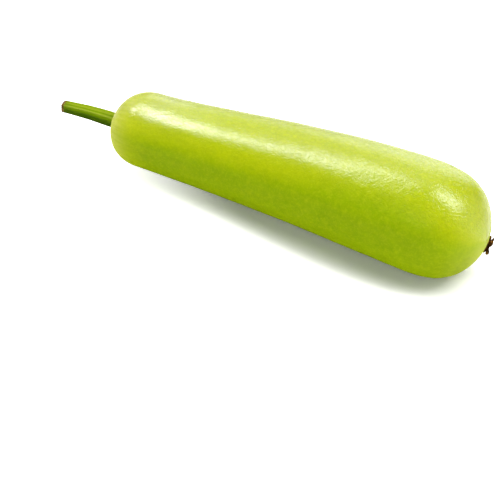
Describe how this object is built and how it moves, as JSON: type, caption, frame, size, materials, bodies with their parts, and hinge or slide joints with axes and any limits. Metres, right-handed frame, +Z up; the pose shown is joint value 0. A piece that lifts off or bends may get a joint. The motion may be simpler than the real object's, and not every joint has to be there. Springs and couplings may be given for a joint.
{
  "type": "bottle gourd",
  "caption": "Long pale green bottle gourd lying on its belly, with a ribbed green stem at one end and dried flower remains at the other.",
  "frame": {"origin": "on the resting surface, under the middle of the whole gourd's box", "axes": "+Z up; +X along the fruit from the stem to the blossom end, the longest way"},
  "size_m": [0.3836, 0.0876, 0.0865],
  "materials": {
    "fruit_skin": "waxy satin skin, yellow-green, paler at both ends",
    "stem_green": "fibrous green, ribbed along its length, brown and corky at the cut",
    "dried_flower": "dry, matt, near black"
  },
  "bodies": {
    "root": {"fruit": "fruit_skin", "stem": "stem_green", "blossom_remnant": "dried_flower"}
  },
  "joints": []
}
